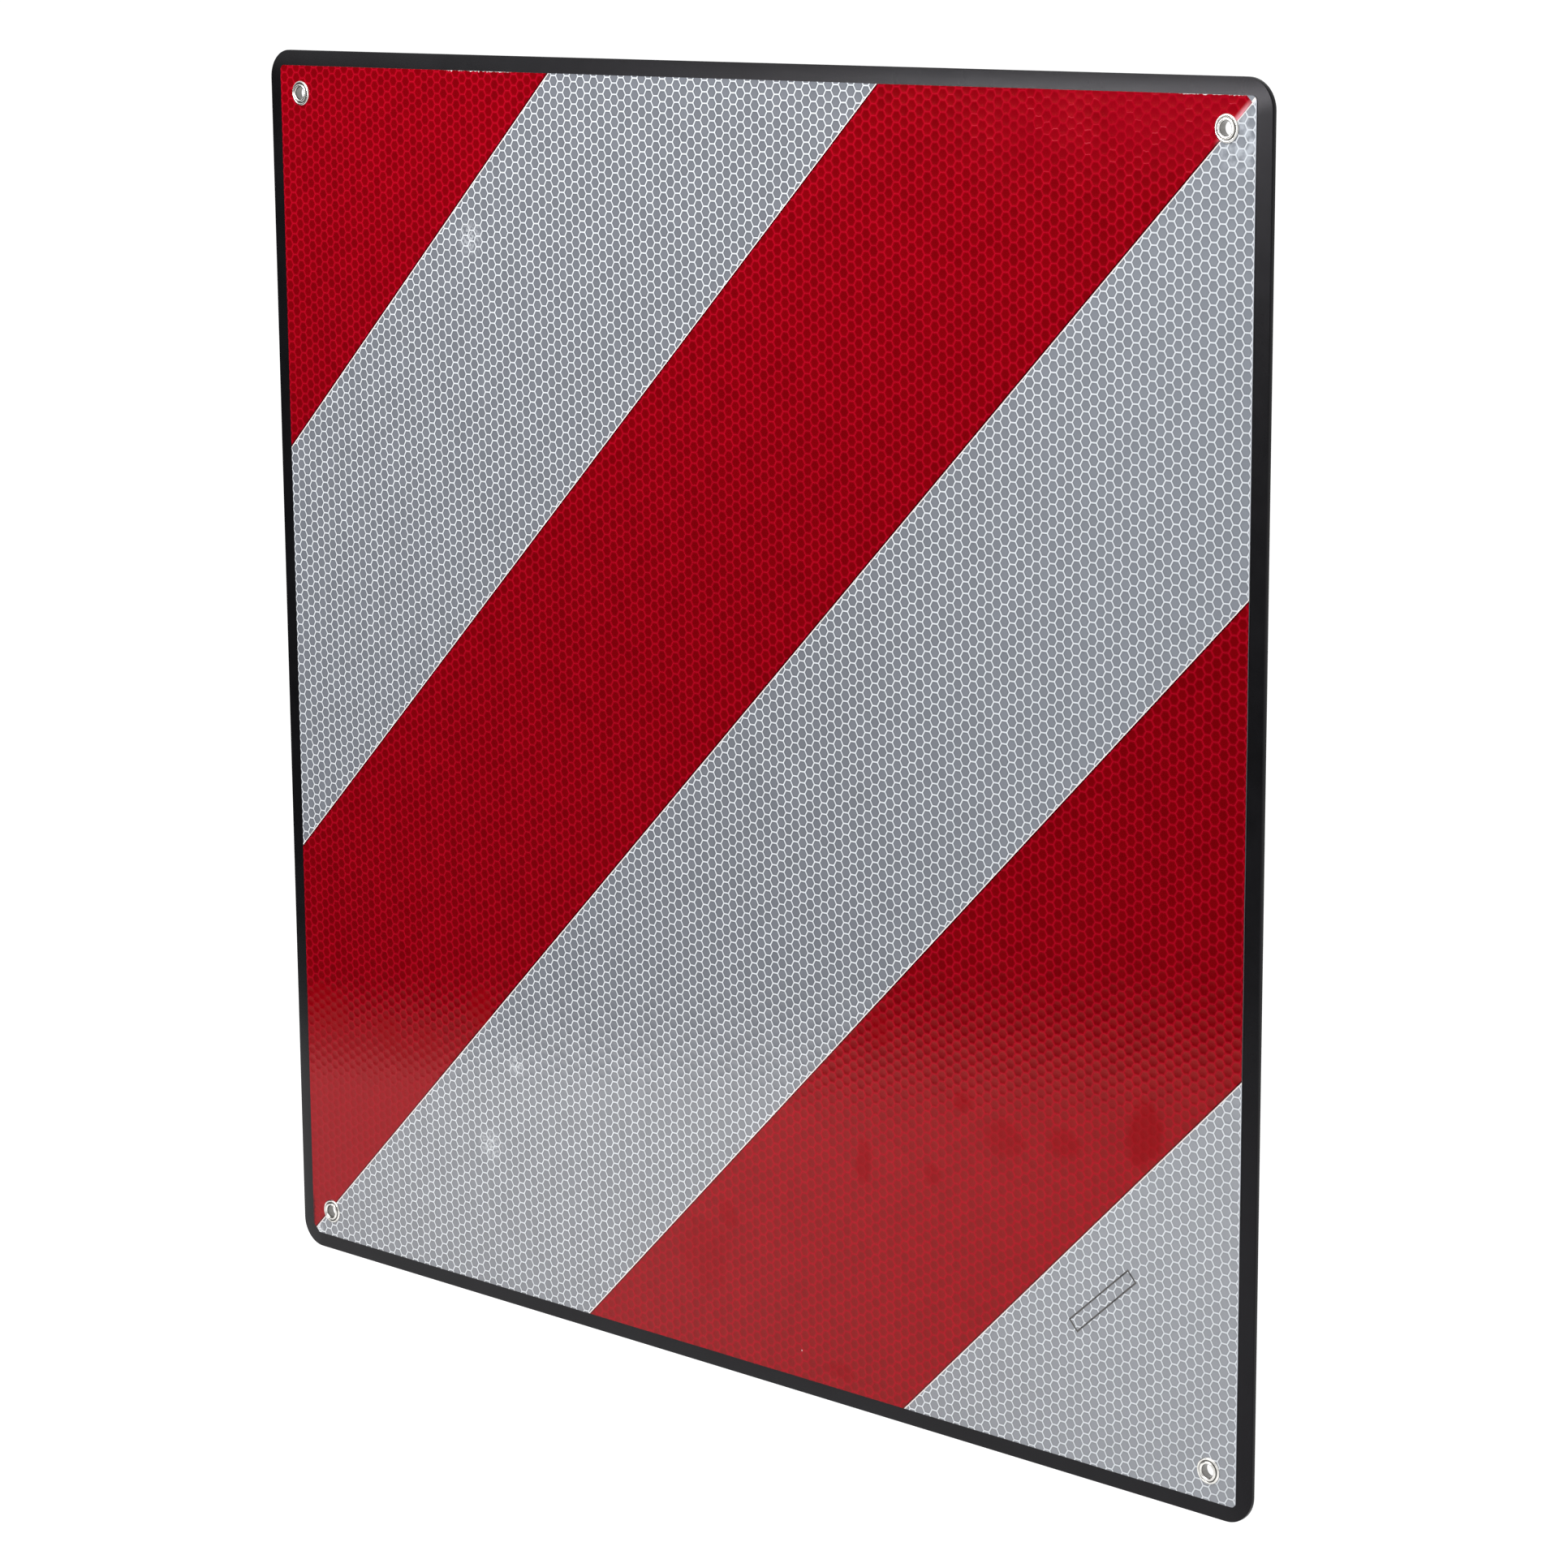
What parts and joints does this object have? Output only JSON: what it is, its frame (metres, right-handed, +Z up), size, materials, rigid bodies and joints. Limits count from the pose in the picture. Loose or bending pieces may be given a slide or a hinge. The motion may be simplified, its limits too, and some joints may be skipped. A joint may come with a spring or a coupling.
{
  "type": "overhanging load sign",
  "caption": "Square plate with reflective diagonal red and white stripes and a rolled metal eyelet in each corner, tied to a load that sticks out behind a vehicle.",
  "frame": {"origin": "on the back face of the plate, midway between the four eyelets, which is the plate's centre", "axes": "+X to the right and +Z up as the striped face is seen, and the striped face looks along -Y"},
  "size_m": [0.5, 0.0042, 0.5],
  "materials": {
    "plate": "black satin, fine grain",
    "white_film": "white honeycomb reflective film",
    "red_film": "clear red over honeycomb reflective film",
    "eyelet": "bright nickel plate",
    "washer": "bright nickel plate"
  },
  "bodies": {
    "root": {"backing_plate": "plate", "reflective_film": "white_film", "red_corner_field": "red_film", "red_middle_band": "red_film", "red_lower_band": "red_film", "eyelet_top_left": "eyelet", "eyelet_top_right": "eyelet", "eyelet_bottom_left": "eyelet", "eyelet_bottom_right": "eyelet", "washer_top_left": "washer", "washer_top_right": "washer", "washer_bottom_left": "washer", "washer_bottom_right": "washer"}
  },
  "joints": []
}
